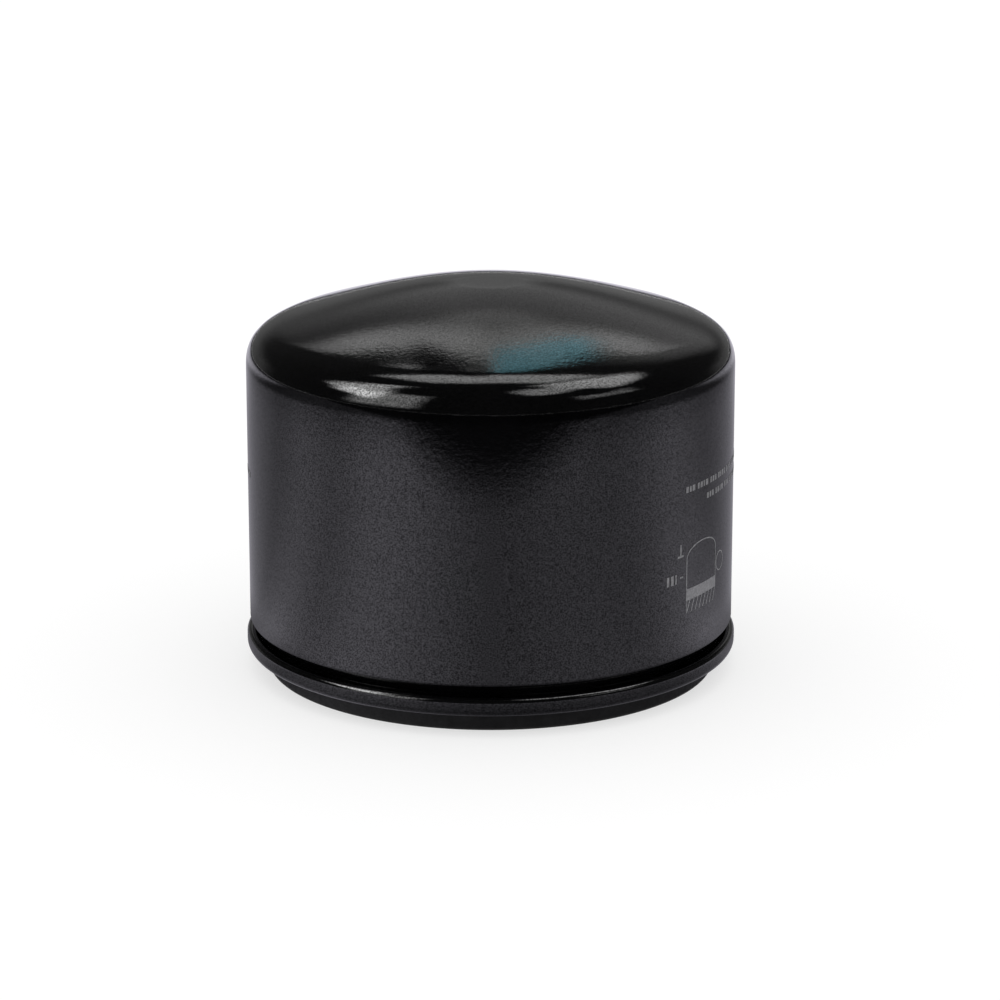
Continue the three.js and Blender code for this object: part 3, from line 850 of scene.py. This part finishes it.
def build_cage():
    path = bent(
        [
            (CAGE_FLANGE, CAGE_TOP),
            (CAGE_RADIUS, CAGE_TOP),
            (CAGE_RADIUS, CAGE_FLOOR),
            (CAGE_GUIDE, CAGE_FLOOR),
        ],
        0.5,
    )
    cage = turned("valve_cage", sheet_outline(path, SHEET), SMALL_FACETS)
    sill, lintel, corner = 1.8, 2.2, 1.0
    half = CAGE_WINDOW_WIDTH / 2
    window_low, window_high = CAGE_FLOOR + sill, CAGE_TOP - lintel
    outline = rounded(rectangle(-half, half, window_low, window_high), corner)
    window = extruded("window", outline, CAGE_RADIUS - 3, CAGE_RADIUS + 3)
    stand = Matrix(((0, 0, 1, 0), (1, 0, 0, 0), (0, 1, 0, 0), (0, 0, 0, 1)))
    window.data.transform(stand)
    cut(cage, [joined("windows", around(window, CAGE_WINDOWS, math.pi / CAGE_WINDOWS))])
    return finished(smooth(cage, 30), TIN, nodes=["bypass_cage"])


def build_poppet():
    top = low("bypass_seal").z - 0.15
    hub = SEAL_INNER - 0.3
    bottom, hub_top = low("bypass_poppet").z, high("bypass_poppet").z
    outline = rounded(
        [
            (POPPET_HOLE, bottom),
            (POPPET_RADIUS, bottom),
            (POPPET_RADIUS, top),
            (hub, top),
            (hub, hub_top),
            (POPPET_HOLE, hub_top),
        ],
        0.15,
        4,
    )
    poppet = smooth(turned("valve_poppet", outline, SMALL_FACETS))
    finished(poppet, TIN, "bypass_valve", ["bypass_poppet"])

    section = rectangle(SEAL_INNER, SEAL_OUTER, low("bypass_seal").z, high("bypass_seal").z)
    seal = smooth(turned("valve_seal", rounded(section, 0.2, 4), SMALL_FACETS))
    finished(seal, VALVE_RUBBER, "bypass_valve", ["bypass_seal"])

    stem_low, stem_high = low("bypass_stem").z, high("bypass_stem").z
    head_z, shoulder = hub_top + 0.15, bottom - 0.15
    stem_outline = [
        (0, stem_low),
        *corner_arc((0, stem_low), (STEM_RADIUS, stem_low), (STEM_RADIUS, shoulder), 0.7, 6),
        *corner_arc((STEM_RADIUS, stem_low), (STEM_RADIUS, shoulder), (0, shoulder), 0.15, 3),
        (STEM_TENON, shoulder),
        (STEM_TENON, head_z),
        *arc((STEM_HEAD - 0.12, head_z + 0.12), 0.12, -90, 30, 4),
        *corner_arc((STEM_HEAD, head_z), (STEM_TENON, stem_high), (0, stem_high), 0.8, 5),
        (0, stem_high),
    ]
    stem = smooth(turned("valve_stem", stem_outline, 64))
    finished(stem, SPRING_STEEL, "bypass_valve", ["bypass_stem"])


def coil_point(share, bottom, top):
    """A point on the coil's centreline. Its first and last turns lie nearly flat."""
    closed = 0.75 / SPRING_TURNS
    eased_start = min(max(share / closed, 0), 1)
    eased_end = min(max((share - 1 + closed) / closed, 0), 1)
    start = SPRING_WIRE * 1.15 * (eased_start**2 * (3 - 2 * eased_start) - 0.5)
    end = SPRING_WIRE * 1.15 * (eased_end**2 * (3 - 2 * eased_end) + 0.5)
    rise = min(max((share - closed) / (1 - 2 * closed), 0), 1)
    angle = 2 * math.pi * SPRING_TURNS * share
    height = bottom + start + end + rise * (top - bottom - SPRING_WIRE * 2.3)
    return Vector((SPRING_RADIUS * math.cos(angle), SPRING_RADIUS * math.sin(angle), height))


def tube_along(name, points, radius, sides):
    """A round wire along the points, with closed ends."""
    vertices, faces = [], []
    for i, p in enumerate(points):
        along = (points[min(i + 1, len(points) - 1)] - points[max(i - 1, 0)]).normalized()
        outward = Vector((p.x, p.y, 0)).normalized()
        outward = (outward - along * outward.dot(along)).normalized()
        up = along.cross(outward)
        for k in range(sides):
            turn = 2 * math.pi * k / sides
            vertices.append(p + (outward * math.cos(turn) + up * math.sin(turn)) * radius)
    for i in range(len(points) - 1):
        for k in range(sides):
            a, b = i * sides + k, i * sides + (k + 1) % sides
            faces.append((a, b, b + sides, a + sides))
    last = (len(points) - 1) * sides
    faces += [tuple(range(sides))[::-1], tuple(range(last, last + sides))]
    return add_object(name, [tuple(v) for v in vertices], faces)


def build_valve_spring():
    bottom, top = low("bypass_spring").z + SPRING_WIRE / 2, high("bypass_spring").z - SPRING_WIRE / 2
    steps = SPRING_TURNS * 64
    points = [coil_point(i / steps, bottom, top) for i in range(steps + 1)]
    spring = smooth(tube_along("valve_spring", points, SPRING_WIRE / 2, 16), 50)
    finished(spring, SPRING_STEEL, nodes=["bypass_spring"])
    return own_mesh(spring)


# ---- Element spring ----


def build_leaf_spring():
    ring_z = low("element_spring").z + LEAF / 2
    section = rectangle(LEAF_RING_INNER, LEAF_RING_OUTER, ring_z - LEAF / 2, ring_z + LEAF / 2)
    ring = turned("ring", rounded(section, 0.12, 2), INNER_FACETS)
    line = [(LEAF_RING_OUTER - 2.5, ring_z), (LEAF_RING_OUTER + 1.5, ring_z), LEAF_CREST, LEAF_TIP]
    side = sheet_outline(bent(line, 2 * LEAF, 6), LEAF, round_ends=False)
    leaf = extruded("leaf", side, -LEAF_WIDTH / 2, LEAF_WIDTH / 2)
    leaf.data.transform(Matrix.Rotation(math.pi / 2, 4, "X"))
    for blade in around(leaf, LEAF_COUNT):
        modifier = ring.modifiers.new("join", "BOOLEAN")
        modifier.operation = "UNION"
        modifier.solver = "EXACT"
        modifier.object = blade
        apply_modifiers(ring)
        bpy.data.meshes.remove(blade.data)
    ring.name = "leaf_spring"
    bevel = ring.modifiers.new("edges", "BEVEL")
    bevel.width = 0.1 * MM
    bevel.segments = 2
    bevel.limit_method = "ANGLE"
    bevel.angle_limit = math.radians(60)
    return finished(smooth(ring, 30), SPRING_STEEL, nodes=["element_spring"])


# ---- Print on the wall ----

INK_LIFT = 0.03  # mm above the paint


def wall_patch(name, corners):
    """A thin layer of ink on the wall inside a closed outline of (distance round the wall, height) in mm.

    Distance 0 is the front, and grows towards +X.
    """
    longest = 0.6
    outline = []
    for a, b in zip(corners, [*corners[1:], corners[0]]):
        outline += split(a, b, max(1, math.ceil(abs(b[0] - a[0]) / longest)))
    count = len(outline)
    vertices = []
    for lift in (0.004, INK_LIFT):
        radius = CAN_RADIUS + lift
        for distance, height in outline:
            angle = distance / CAN_RADIUS
            vertices.append((radius * math.sin(angle), -radius * math.cos(angle), height))
    faces = [(i, (i + 1) % count, (i + 1) % count + count, i + count) for i in range(count)]
    obj = add_object(name, vertices, faces)
    bm = bmesh.new()
    bm.from_mesh(obj.data)
    bm.verts.ensure_lookup_table()
    bottom = bm.faces.new([bm.verts[i] for i in range(count)])
    top = bm.faces.new([bm.verts[i + count] for i in range(count)])
    bmesh.ops.triangulate(bm, faces=[bottom, top])
    bmesh.ops.recalc_face_normals(bm, faces=bm.faces)
    bm.to_mesh(obj.data)
    bm.free()
    return obj


def bar(start, end, bottom, top, slant=0.0):
    return wall_patch("bar", [(start, bottom), (end, bottom), (end + slant, top), (start + slant, top)])


def stroke(points, width):
    """A line of even width along points of (distance, height)."""
    outline = sheet_outline(points, width, round_ends=False)
    left, right = outline[: len(points)], outline[: len(points) - 1 : -1]
    quads = zip(left, left[1:], right[1:], right)
    return joined("stroke", [wall_patch("quad", list(quad)) for quad in quads])


def build_print():
    """Generic pale marks where the real can carries its print: a plain filter symbol, bars and dashes."""
    left, right = 34.2, 43.2  # the symbol's sides, round the wall
    shoulder, crown_z, band_low, band_high, hatch_low = 23.4, 25.5, 16.8, 18.6, 14.8
    middle, half = (left + right) / 2, (right - left) / 2
    top = [
        (middle - half * math.cos(t), shoulder + (crown_z - shoulder) * math.sin(t))
        for t in np.linspace(0, math.pi, 15)
    ]
    symbol = [stroke([(left, band_low), *top, (right, band_low)], 0.2)]
    symbol.append(bar(left, right, band_low, band_high))
    hatches, lean = 8, 0.8
    spacing = (right - left - lean) / (hatches - 1)
    for i in range(hatches):
        start = left + i * spacing * 0.97
        symbol.append(bar(start, start + 0.22, hatch_low, band_low, lean))
    symbol.append(bar(left, left + 0.2, hatch_low, band_low))

    marks = []
    for start, end, bottom, top_z in (
        (29.5, 30.0, 20.0, 21.5),
        (30.4, 31.0, 20.0, 21.5),
        (31.4, 31.7, 20.0, 21.5),
        (32.5, 33.3, 20.7, 20.95),
        (31.9, 33.3, 24.0, 24.3),
        (32.5, 32.8, 24.3, 26.0),
    ):
        marks.append(bar(start, end, bottom, top_z))
    ring = [(45.0 + 1.5 * math.cos(t), 20.5 + 1.5 * math.sin(t)) for t in np.linspace(0, 2 * math.pi, 25)]
    marks.append(stroke(ring[:-1] + ring[:1], 0.2))

    dash_lengths = (0.6, 0.45, 0.7, 0.5, 0.65, 0.4, 0.75, 0.5, 0.6, 0.55)
    gaps = (0.3, 0.3, 0.75, 0.3, 0.3, 0.3, 0.8)
    rows = []
    for start, end, bottom in ((33.8, 78.0, 33.9), (39.8, 78.0, 31.7), (-57.0, -51.5, 31.8)):
        place, k = start, 0
        while place < end:
            length = dash_lengths[k % len(dash_lengths)]
            rows.append(bar(place, place + length, bottom, bottom + 0.9))
            place += length + gaps[k % len(gaps)]
            k += 1
    for name, parts in (("print_symbol", symbol), ("print_marks", marks), ("print_dashes", rows)):
        printed = joined(name, parts)
        finished(printed, INK)


# ---- Stage ----

AIM = Vector((1.46, 0, 25.97)) * MM
CAMERA_ELEVATION = math.radians(16.03)
CAMERA_DISTANCE = 610.3 * MM
CAMERA_LENS = 139.8


def build_camera():
    data = bpy.data.cameras.new("camera")
    data.lens = CAMERA_LENS
    data.sensor_width = 36
    data.clip_start, data.clip_end = 0.01, 20
    camera = put("camera", data)
    back = Vector((0, -math.cos(CAMERA_ELEVATION), math.sin(CAMERA_ELEVATION)))
    camera.location = AIM + back * CAMERA_DISTANCE
    camera.rotation_euler = (math.pi / 2 - CAMERA_ELEVATION, 0, 0)
    bpy.context.scene.camera = camera


FLOOR_Z = -0.05  # just under the gasket


def plane(name, width, depth):
    """A rectangle in its own XY plane, in metres."""
    mesh = bpy.data.meshes.new(name)
    w, d = width / 2, depth / 2
    mesh.from_pydata([(-w, -d, 0), (w, -d, 0), (w, d, 0), (-w, d, 0)], [], [(0, 1, 2, 3)])
    obj = put(name, mesh)
    return obj


def build_floor():
    """A plain pale floor, which can't be seen from below."""
    floor = plane("floor", 6, 6)
    m = Nodes("floor")
    m.set(Roughness=0.9, Specular_IOR_Level=0.0, Emission_Strength=0.62)
    m.set(Base_Color=(0.42, 0.42, 0.42, 1), Emission_Color=(1, 1, 1, 1))
    see_through = m.add("ShaderNodeBsdfTransparent").outputs[0]
    from_below = m.add("ShaderNodeNewGeometry").outputs["Backfacing"]
    sides = m.add("ShaderNodeMixShader", {0: from_below, 1: m.shader.outputs[0], 2: see_through})
    m.tree.links.new(sides.outputs[0], m.tree.nodes["Material Output"].inputs["Surface"])
    floor.data.materials.append(m.material)
    floor.location = (0, 0, FLOOR_Z * MM)


def emission_nodes(name):
    """A light-giving material. Returns its node helper and its emission node."""
    m = Nodes(name)
    m.tree.nodes.remove(m.shader)
    glow = m.add("ShaderNodeEmission")
    m.tree.links.new(glow.outputs[0], m.tree.nodes["Material Output"].inputs["Surface"])
    return m, glow


def only_in_reflections(obj):
    obj.visible_camera = False
    obj.visible_diffuse = False
    obj.visible_shadow = False
    obj.visible_transmission = False


def smooth_step(m, value, middle, soft, down=False):
    """Goes from 0 to 1 over soft, round middle, or from 1 to 0."""
    inputs = {"Value": value, "From Min": middle - soft / 2, "From Max": middle + soft / 2}
    inputs.update({"To Min": 1.0, "To Max": 0.0} if down else {"To Min": 0.0, "To Max": 1.0})
    return m.add("ShaderNodeMapRange", inputs, interpolation_type="SMOOTHSTEP").outputs[0]


def bell(m, value, middle, width):
    """1 at middle, falling smoothly to 0 at width on each side."""
    away = m.math("ABSOLUTE", m.math("SUBTRACT", value, middle))
    return smooth_step(m, away, width / 2, width, down=True)


def compass(m):
    """Azimuth in degrees, 0 on the camera's side and growing towards +X, and elevation in degrees."""
    direction = m.add("ShaderNodeVectorMath", {0: m.place}, operation="NORMALIZE").outputs[0]
    x, y, z = m.add("ShaderNodeSeparateXYZ", {"Vector": direction}).outputs
    azimuth = m.math("DEGREES", m.math("ARCTAN2", x, m.math("MULTIPLY", y, -1)))
    return azimuth, m.math("DEGREES", m.math("ARCSINE", z))


# The studio's lights and cards as the gloss sees them. Angles are in degrees: (azimuths, elevations,
# softness at the sides, bottom and top, strength, colour, tilt, arch). Tilt raises a patch per degree
# of azimuth, and arch lowers it by the square of the azimuth from straight behind. A negative strength
# takes light away.
DARK_ROOM = 0.045
DARKEST = 0.02
WHITE = (1, 1, 1)
TEAL = (-0.5, 0.24, 0.47)
PATCHES = (
    ((-101, -62), (33, 61), (12, 10, 10), 6.0, WHITE, -0.45, 0.0),
    ((-86, -58), (28, 46), (10, 8, 8), 5.5, WHITE, -0.2, 0.0),
    ((-68, -36), (8, 50), (12, 10, 12), 2.9, WHITE, 0.1, 0.0),
    ((84, 144), (52, 76), (16, 7, 8), 4.4, WHITE, 0.0, 0.0),
    ((30, 84), (64, 80), (16, 7, 7), 3.2, WHITE, 0.05, 0.0),
    ((48, 80), (32, 44), (10, 6, 6), 1.7, WHITE, 0.0, 0.0),
    ((163.5, 196.5), (44.5, 51.4), (4, 8, 0.5), 1.12, WHITE, 0.0, 0.058),
    ((181, 197), (42, 51.4), (6, 9, 0.5), 0.2, WHITE, 0.0, 0.058),
    ((180.5, 191), (49.1, 60), (3, 2.6, 3), -1.7, WHITE, 0.0, 0.058),
    ((167, 179.5), (51.4, 52.5), (3, 0.5, 0.8), 1.0, WHITE, 0.0, 0.058),
    ((167, 179.5), (47.3, 52.5), (3, 1.6, 0.8), 1.0, TEAL, 0.0, 0.058),
    ((181, 194), (50.6, 52.2), (4, 1, 1), 1.8, WHITE, 0.0, 0.03),
    ((176.5, 183.5), (9, 19), (3, 3, 3), 0.12, WHITE, 0.0, 0.0),
    ((171, 188), (37, 47), (10, 6, 6), 0.45, WHITE, 0.0, 0.0),
    ((150, 212), (56, 70), (12, 3, 5), 2.6, WHITE, 0.0, 0.0),
    ((154, 192), (16, 40), (16, 10, 14), 0.33, WHITE, 0.0, 0.0),
    ((128, 180), (-20, 12), (20, 14, 14), 0.19, WHITE, 0.0, 0.0),
    ((-180, -128), (-20, 14), (20, 14, 14), 0.15, WHITE, 0.0, 0.0),
)


def build_surround():
    """A dark dome with soft patches of light, which only the gloss sees."""
    bm = bmesh.new()
    bmesh.ops.create_uvsphere(bm, u_segments=64, v_segments=32, radius=4)
    mesh = bpy.data.meshes.new("surround")
    bm.to_mesh(mesh)
    bm.free()
    dome = put("surround", mesh)
    m, glow = emission_nodes("surround")
    azimuth, elevation = compass(m)
    behind = m.math("SUBTRACT", 180.0, m.math("ABSOLUTE", azimuth))
    total = m.add("ShaderNodeCombineXYZ", {axis: DARK_ROOM for axis in range(3)}).outputs[0]
    for azimuths, elevations, soft, strength, colour, tilt, arch in PATCHES:
        middle, half = sum(azimuths) / 2, (azimuths[1] - azimuths[0]) / 2
        shifted = m.math("SUBTRACT", azimuth, middle)
        away = m.add("ShaderNodeMath", {0: shifted, 1: 180.0, 2: -180.0}, operation="WRAP").outputs[0]
        lift = m.math("MULTIPLY", m.math("MULTIPLY", behind, behind), arch)
        height = m.math("ADD", m.math("SUBTRACT", elevation, m.math("MULTIPLY", away, tilt)), lift)
        light = smooth_step(m, m.math("ABSOLUTE", away), half, soft[0], down=True)
        light = m.math("MULTIPLY", light, smooth_step(m, height, elevations[0], soft[1]))
        light = m.math("MULTIPLY", light, smooth_step(m, height, elevations[1], soft[2], down=True))
        glowing = {0: [strength * c for c in colour], "Scale": light}
        tinted = m.add("ShaderNodeVectorMath", glowing, operation="SCALE").outputs[0]
        total = m.add("ShaderNodeVectorMath", {0: total, 1: tinted}, operation="ADD").outputs[0]
    least = {0: total, 1: [DARKEST] * 3}
    light = m.add("ShaderNodeVectorMath", least, operation="MAXIMUM").outputs[0]
    m.tree.links.new(light, glow.inputs["Color"])
    dome.data.materials.append(m.material)
    only_in_reflections(dome)


# Brighter and darker parts of the floor as the gloss sees it: (azimuth, width, strength), in degrees
POOLS = (
    (-50, 62, 0.62),
    (-69, 24, -0.4),
    (-110, 40, 0.03),
    (0, 44, -0.26),
    (26, 40, 0.06),
    (50, 40, -0.14),
    (84, 36, 0.2),
)


def build_floor_reflection():
    """What the gloss sees of the floor: pools of light in front, dark further out, painted shade close
    round the can, bright behind.
    """
    card = plane("floor_reflection", 4, 4)
    card.location = (0, 0, 0.0004)
    m, glow = emission_nodes("floor_reflection")
    azimuth = compass(m)[0]
    y = m.add("ShaderNodeSeparateXYZ", {"Vector": m.place}).outputs["Y"]
    radius = m.add("ShaderNodeVectorMath", {0: m.place}, operation="LENGTH").outputs["Value"]
    front = m.math("DIVIDE", y, m.math("MAXIMUM", radius, 0.001))
    light = m.between(smooth_step(m, front, 0.05, 0.6, down=True), 0.36, 0.82)
    for middle, width, strength in POOLS:
        light = m.math("ADD", light, m.math("MULTIPLY", bell(m, azimuth, middle, width), strength))
    far_front = smooth_step(m, m.math("MULTIPLY", y, -1), 0.172, 0.048, down=True)
    far = smooth_step(m, radius, 0.212, 0.06, down=True)
    # Darker close round the can: a painted shadow of the can on the floor, as the gloss sees it
    near = smooth_step(m, radius, 0.052, 0.02)
    for shade, least in ((far_front, 0.06), (far, 0.2), (near, 0.35)):
        light = m.math("MULTIPLY", light, m.between(shade, least, 1.0))
    behind = m.math("MULTIPLY", smooth_step(m, y, 0.2, 0.15), smooth_step(m, radius, 0.7, 0.5, down=True))
    front_part = m.math("MULTIPLY", light, m.math("SUBTRACT", 1.0, behind))
    light = m.math("ADD", front_part, m.math("MULTIPLY", behind, 0.8))
    m.tree.links.new(light, glow.inputs["Strength"])
    glow.inputs["Color"].default_value = (1.0, 0.975, 1.09, 1)
    card.data.materials.append(m.material)
    only_in_reflections(card)


def build_world():
    """Even white light from all round, which the gloss doesn't see."""
    world = bpy.data.worlds.new("soft_light")
    world.use_nodes = True
    background = world.node_tree.nodes["Background"]
    background.inputs["Color"].default_value = (1, 1, 1, 1)
    background.inputs["Strength"].default_value = 1.0
    world.cycles_visibility.glossy = False
    bpy.context.scene.world = world
    bpy.context.scene.view_settings.view_transform = "Standard"


# ---- The whole scene ----

build_camera()
build_canister()
build_lid()
build_seam_sealant()
build_gasket()
build_thread_plate()
build_drainback_valve()
build_end_caps()
build_center_tube()
build_potting()
build_media()
build_seam_clip()
build_cage()
build_poppet()
build_valve_spring()
build_leaf_spring()
build_print()
build_floor()
build_floor_reflection()
build_surround()
build_world()
